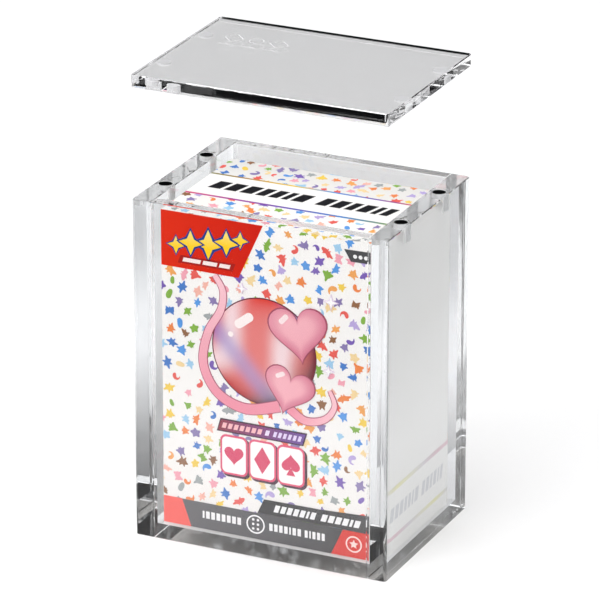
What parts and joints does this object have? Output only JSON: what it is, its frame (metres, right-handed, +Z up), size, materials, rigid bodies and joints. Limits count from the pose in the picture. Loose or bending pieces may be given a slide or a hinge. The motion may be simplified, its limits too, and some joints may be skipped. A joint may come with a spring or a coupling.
{
  "type": "card deck box",
  "caption": "Clear acrylic display case with a loose magnetic lid raised above its rim, holding a printed paperboard carton of foil card packs.",
  "frame": {"origin": "on the table, under the middle of the case", "axes": "+Z up, front panel towards -Y, side walls with the magnets at -X and +X"},
  "size_m": [0.106, 0.077, 0.188],
  "materials": {
    "acrylic": "polished",
    "magnet": "polished",
    "printed_board": "satin",
    "foil_wrapper": "gloss",
    "card_stock": "satin"
  },
  "bodies": {
    "case": {"base_panel": "acrylic", "front_panel": "acrylic", "rear_panel": "acrylic", "left_wall": "acrylic", "right_wall": "acrylic", "case_magnet_left_front": "magnet", "case_magnet_left_rear": "magnet", "case_magnet_right_front": "magnet", "case_magnet_right_rear": "magnet"},
    "carton": {"carton_shell": "printed_board", "foil_pack_1": "foil_wrapper", "card_stack_1": "card_stock", "foil_pack_2": "foil_wrapper", "card_stack_2": "card_stock", "foil_pack_3": "foil_wrapper", "card_stack_3": "card_stock", "foil_pack_4": "foil_wrapper", "card_stack_4": "card_stock", "foil_pack_5": "foil_wrapper", "card_stack_5": "card_stock", "foil_pack_6": "foil_wrapper", "card_stack_6": "card_stock"},
    "lid": {"lid_plate": "acrylic", "lid_magnet_left_front": "magnet", "lid_magnet_left_rear": "magnet", "lid_magnet_right_front": "magnet", "lid_magnet_right_rear": "magnet"}
  },
  "joints": [
    {"name": "carton_lift", "type": "slide", "parent": "case", "child": "carton", "axis": [0, 0, 1], "range_m": [0, 0.14]},
    {"name": "lid_lift", "type": "slide", "parent": "carton", "child": "lid", "axis": [0, 0, 1], "range_m": [-0.04445, 0]}
  ]
}
